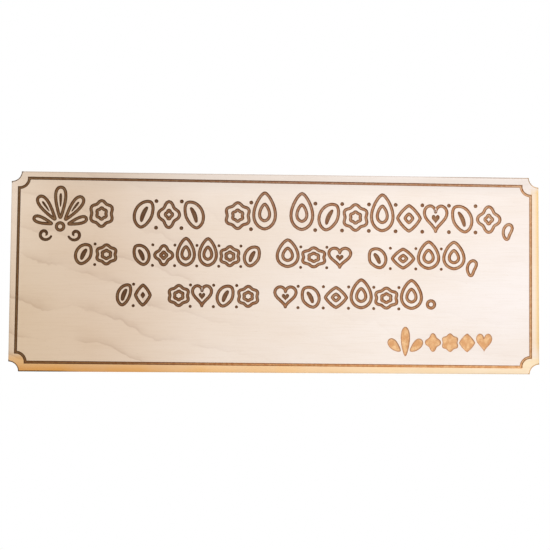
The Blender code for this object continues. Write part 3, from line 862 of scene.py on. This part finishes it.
def face_veneer(back_y):
    """The engraved ply: contour loops triangulated into one relief, with sides and a back."""
    relief = face_relief()
    spots, _, faces, origins, _, _ = delaunay_2d_cdt(relief.points, relief.edges, [], 1, 1e-8)
    work = bmesh.new()
    layers = [work.verts.layers.float.new(name) for name in ("scorch", "amber", "rim")]
    rim_ring = ring_of_verts(work, board_loop(), FRONT_Y + RIM_LEVELS[0][1] * MM)
    back_ring = ring_of_verts(work, board_loop(), back_y)
    for vert in rim_ring + back_ring:
        vert[layers[0]] = 1.0
    bridge(work, rim_ring, back_ring)
    work.faces.new(back_ring)
    bmesh.ops.recalc_face_normals(work, faces=work.faces)
    front = []
    for spot, origin in zip(spots, origins):
        depth, *burns = relief.values[origin[0]] if origin else (0.0, 0.0, 0.0, 0.0)
        vert = work.verts.new((CENTRE_X + spot.x, FRONT_Y + depth, CENTRE_Z + spot.y))
        for layer, burn in zip(layers, burns):
            vert[layer] = burn
        front.append(vert)
    for face in faces:
        work.faces.new([front[index] for index in face])
    piece = new_piece("engraved_face_veneer", work)
    smooth(piece, 28)
    return piece


def board():
    planes = glue_planes()
    stands_for(face_veneer(planes[0]), "face_veneer", face_maple())
    across = burnt_edge("core_across_grain", (0.17, 0.09, 0.045), (0.075, 0.04, 0.022))
    along = burnt_edge("core_along_grain", (0.36, 0.21, 0.11), (0.17, 0.095, 0.05))
    crease = 0.07 * MM
    for index, node in enumerate(CORE_NODES):
        front, back = planes[index], planes[index + 1]
        levels = ((-crease, front), (0, front + crease), (0, back - crease), (-crease, back))
        piece = outline_stack(node + "_edge", levels)
        smooth(piece, 20)
        stands_for(piece, node, along if index % 2 else across)
    levels = (
        (-crease, planes[-1]), (0, planes[-1] + crease), (0, BACK_Y - 0.35 * MM),
        (-0.12 * MM, BACK_Y - 0.1 * MM), (-0.4 * MM, BACK_Y),
    )
    back = outline_stack("back_veneer_sheet", levels)
    smooth(back, 40)
    stands_for(back, "back_veneer", back_maple())


# ---------------------------------------------------------------- the hardware

HANGER_SHEET = 0.8 * MM
HANGER_JOGGLE = 1.2 * MM
HANGER_TAB = 6.5 * MM
TOOTH_PITCH = 2.6 * MM
TOOTH_DEPTH = 1.5 * MM
TOOTH_NOTCHES = 9
HOLE_RADIUS = 0.9 * MM
CORNER_ROUND = 1.2 * MM
NAIL_RADIUS = 0.65 * MM
NAIL_HEAD_HEIGHT = 0.5 * MM
NAIL_POINT = 1.6 * MM
BUMPER_ROUND = 1.2 * MM


def extruded(name, loop, low, high, upright):
    """A closed loop extruded along Z, or along Y if upright, as a helper mesh."""
    work = bmesh.new()
    rings = []
    for level in (low, high):
        if upright:
            rings.append([work.verts.new((spot.real, level, spot.imag)) for spot in loop])
        else:
            rings.append([work.verts.new((spot.real, spot.imag, level)) for spot in loop])
    bridge(work, rings[0], rings[1])
    work.faces.new(rings[0])
    work.faces.new(rings[1])
    bmesh.ops.recalc_face_normals(work, faces=work.faces)
    return new_piece(name, work)


def hanger_section(low, high):
    """The joggled strip seen from above, its bends rounded."""
    half = (high[0] - low[0]) / 2
    bend = half - HANGER_TAB
    steps = np.linspace(-0.5, 2.0, 21) * MM
    stations = np.unique(np.concatenate([[-half, half], steps - bend, bend - steps]))
    rise = np.clip((bend + 0.5 * MM - np.abs(stations)) / (2.5 * MM), 0, 1)
    rise = rise * rise * (3 - 2 * rise) * HANGER_JOGGLE
    inner = stations + 1j * (low[1] + rise)
    return np.concatenate([inner, (inner + 1j * HANGER_SHEET)[::-1]])


def hanger_cutters(low, high, nail_x, nail_z):
    """Everything stamped out of the strip: teeth, nail holes and the four corners."""
    before, beyond = low[1] - 2 * MM, high[1] + 2 * MM
    cutters = []
    below = low[2] - 1 * MM
    for index in range(TOOTH_NOTCHES):
        x = (index - (TOOTH_NOTCHES - 1) / 2) * TOOTH_PITCH
        wide = 0.46 * TOOTH_PITCH * -below / TOOTH_DEPTH
        root = [complex(x + 0.08 * MM, -0.06 * MM), complex(x, 0), complex(x - 0.08 * MM, -0.06 * MM)]
        cutters.append([complex(x - wide, below), complex(x + wide, below)] + root)
    for side in (-1, 1):
        cutters.append(ring(complex(side * nail_x, nail_z), HOLE_RADIUS, 32))
        for z, up in ((low[2], -1), (high[2], 1)):
            corner = complex(side * (high[0] - CORNER_ROUND), z - up * CORNER_ROUND)
            quarter = CORNER_ROUND * np.exp(1j * np.linspace(0, math.pi / 2, 9))
            arc = [corner + complex(side * spot.real, up * spot.imag) for spot in quarter]
            far = corner + complex(side, up) * (CORNER_ROUND + 1 * MM)
            cutters.append([complex(far.real, arc[0].imag)] + arc + [complex(arc[-1].real, far.imag), far])
    return [extruded("stamp", loop, before, beyond, True) for loop in cutters]


def sawtooth_hanger():
    low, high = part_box("sawtooth_hanger")
    nail_low, nail_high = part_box("hanger_nail_right")
    nail_x = (nail_low[0] + nail_high[0]) / 2
    nail_z = (nail_low[2] + nail_high[2]) / 2
    strip = extruded("sawtooth_hanger_strip", hanger_section(low, high), low[2], high[2], False)
    stamps = hanger_cutters(low, high, nail_x, nail_z)
    for stamp in stamps:
        boolean = strip.modifiers.new("Stamp", "BOOLEAN")
        boolean.operation = "DIFFERENCE"
        boolean.solver = "EXACT"
        boolean.object = stamp
    rounding = strip.modifiers.new("Worn edges", "BEVEL")
    rounding.width = 0.07 * MM
    rounding.segments = 2
    rounding.limit_method = "ANGLE"
    rounding.angle_limit = math.radians(40)
    bpy.context.view_layer.update()
    evaluated = strip.evaluated_get(bpy.context.evaluated_depsgraph_get())
    mesh = bpy.data.meshes.new_from_object(evaluated)
    strip.modifiers.clear()
    strip.data = mesh
    for stamp in stamps:
        bpy.data.objects.remove(stamp)
    smooth(strip, 30)
    stands_for(strip, "sawtooth_hanger", zinc_sheet())


def hanger_nails(surface):
    for side in ("left", "right"):
        low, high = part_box("hanger_nail_" + side)
        centre = [(a + b) / 2 for a, b in zip(low, high)]
        head = (high[0] - low[0]) / 2
        seat = high[1] - NAIL_HEAD_HEIGHT
        dome = [
            (head * math.sin(angle), seat + 0.12 * MM + 0.38 * MM * math.cos(angle))
            for angle in np.linspace(0, math.pi / 2, 9)
        ]
        under = [
            (head, seat + 0.05 * MM), (head - 0.05 * MM, seat),
            (NAIL_RADIUS + 0.12 * MM, seat), (NAIL_RADIUS, seat - 0.12 * MM),
        ]
        point = [(NAIL_RADIUS, low[1] + NAIL_POINT), (0, low[1])]
        nail = turned("nail_" + side, dome + under + point, 40, centre)
        smooth(nail, 35)
        stands_for(nail, "hanger_nail_" + side, surface)


def bumpers(surface):
    for side in ("left", "right"):
        low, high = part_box("bumper_" + side)
        centre = [(a + b) / 2 for a, b in zip(low, high)]
        radius = (high[0] - low[0]) / 2
        flat = radius - BUMPER_ROUND
        shoulder = high[1] - BUMPER_ROUND
        profile = [(0, high[1])]
        for angle in np.linspace(0, math.pi / 2, 13):
            across, up = BUMPER_ROUND * math.sin(angle), BUMPER_ROUND * math.cos(angle)
            profile.append((flat + across, shoulder + up))
        profile += [(radius, BACK_Y + 0.25 * MM), (radius - 0.12 * MM, BACK_Y + 0.12 * MM)]
        profile += [(radius - 0.12 * MM, BACK_Y), (0, BACK_Y)]
        disc = turned("bumper_disc_" + side, profile, 72, centre)
        smooth(disc, 35)
        stands_for(disc, "bumper_" + side, surface)


# ---------------------------------------------------------------- the studio

# The camera, in metres from the middle of the face, and the point that it looks at
CAMERA_OFFSET = Vector((-0.0228, -0.5735, -0.0280))
CAMERA_TARGET = Vector((-0.0012, 0.0, -0.0010))
CAMERA_ROLL = -0.0076
CAMERA_LENS = 65.35
FLOOR_DROP = 0.45


def camera():
    data = bpy.data.cameras.new("camera")
    data.lens = CAMERA_LENS
    data.sensor_width = 36
    data.clip_start = 0.01
    middle = Vector((CENTRE_X, FRONT_Y, CENTRE_Z))
    view = bpy.data.objects.new("camera", data)
    forward = (CAMERA_TARGET - CAMERA_OFFSET).normalized()
    turn = forward.to_track_quat("-Z", "Y").to_matrix().to_4x4() @ Matrix.Rotation(-CAMERA_ROLL, 4, "Z")
    view.matrix_world = Matrix.Translation(middle + CAMERA_OFFSET) @ turn
    bpy.context.scene.collection.objects.link(view)
    bpy.context.scene.camera = view


def softbox(name, place, size, watts, colour):
    data = bpy.data.lights.new(name, "AREA")
    data.shape = "RECTANGLE"
    data.size, data.size_y = size
    data.energy = watts
    data.color = colour
    lamp = bpy.data.objects.new(name, data)
    place = Vector(place)
    aim = Vector((CENTRE_X, FRONT_Y, CENTRE_Z)) - place
    lamp.matrix_world = Matrix.Translation(place) @ aim.to_track_quat("-Z", "Y").to_matrix().to_4x4()
    bpy.context.scene.collection.objects.link(lamp)


def backdrop():
    """A white surround: full white where it is looked at, dimmer as a light."""
    world = bpy.data.worlds.new("studio")
    world.use_nodes = True
    bpy.context.scene.world = world
    nodes, links = world.node_tree.nodes, world.node_tree.links
    seen = nodes.new("ShaderNodeBackground")
    seen.inputs["Color"].default_value = (1, 1, 1, 1)
    lighting = nodes["Background"]
    lighting.inputs["Color"].default_value = (1, 1, 1, 1)
    lighting.inputs["Strength"].default_value = 0.45
    rays = nodes.new("ShaderNodeLightPath")
    chosen = nodes.new("ShaderNodeMixShader")
    links.new(rays.outputs["Is Camera Ray"], chosen.inputs[0])
    links.new(lighting.outputs[0], chosen.inputs[1])
    links.new(seen.outputs[0], chosen.inputs[2])
    links.new(chosen.outputs[0], nodes["World Output"].inputs["Surface"])


def floor():
    bpy.ops.mesh.primitive_plane_add(size=2.2, location=(0, 0, FACE_LOW[2] - FLOOR_DROP))
    ground = bpy.context.object
    ground.name = "floor"
    graph = Graph("pale_floor")
    speckle = graph.noise(graph.scaled((60, 60, 60)), detail=3.0)
    tone = graph.mix(graph.range(speckle, 0.3, 0.7), (0.86, 0.86, 0.85), (0.83, 0.83, 0.82))
    ground.data.materials.append(graph.finish(tone, 0.8, graph.bump(speckle, 0.2 * MM)))


def studio():
    camera()
    backdrop()
    floor()
    softbox("key_right", (0.75, -0.85, 0.35), (0.7, 0.7), 9.0, (0.96, 0.98, 1.0))
    softbox("fill_left", (-0.8, -0.8, 0.1), (0.6, 0.6), 2.2, (1.0, 0.88, 0.74))
    softbox("top", (0.0, -0.35, 0.9), (0.9, 0.5), 3.0, (1.0, 1.0, 1.0))
    softbox("behind", (0.3, 0.9, 0.5), (0.8, 0.8), 7.0, (1.0, 0.99, 0.97))
    bpy.context.scene.view_settings.view_transform = "Standard"


board()
sawtooth_hanger()
hanger_nails(nail_wire())
bumpers(black_rubber())
studio()
